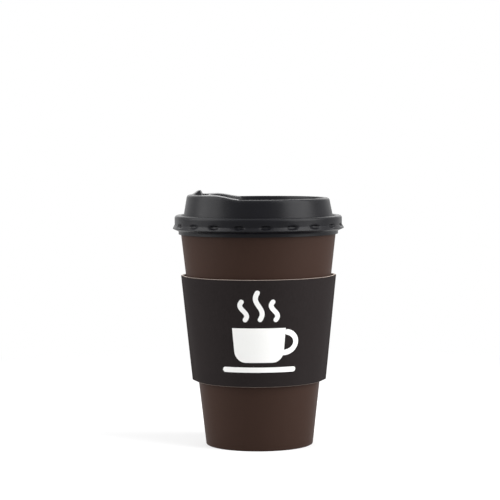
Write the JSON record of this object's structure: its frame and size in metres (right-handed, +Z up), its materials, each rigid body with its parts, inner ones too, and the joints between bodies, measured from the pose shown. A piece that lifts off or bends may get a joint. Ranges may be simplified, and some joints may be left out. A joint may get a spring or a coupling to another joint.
{
  "type": "paper coffee cup",
  "caption": "Tapered paper cup for hot drinks with a rolled rim, a folded board sleeve and a push-on sip lid that lifts off.",
  "frame": {"origin": "centre of the cup's foot, on the surface that it stands on", "axes": "+Z up along the cup's axis; -Y is the front with the printed sleeve face; -X is the lid's mouthpiece; the glued seams are at the back, +Y"},
  "size_m": [0.0936, 0.0936, 0.1389],
  "materials": {
    "printed_paper": "satin",
    "white_paper": "satin",
    "sleeve_board": "matte",
    "lid_plastic": "satin"
  },
  "bodies": {
    "cup": {"cup_sidewall": "printed_paper", "cup_base": "white_paper", "sleeve": "sleeve_board"},
    "lid": {"lid": "lid_plastic"}
  },
  "joints": [
    {"name": "lid_lift", "type": "slide", "parent": "cup", "child": "lid", "axis": [0, 0, 1], "range_m": [0, 0.035]}
  ]
}
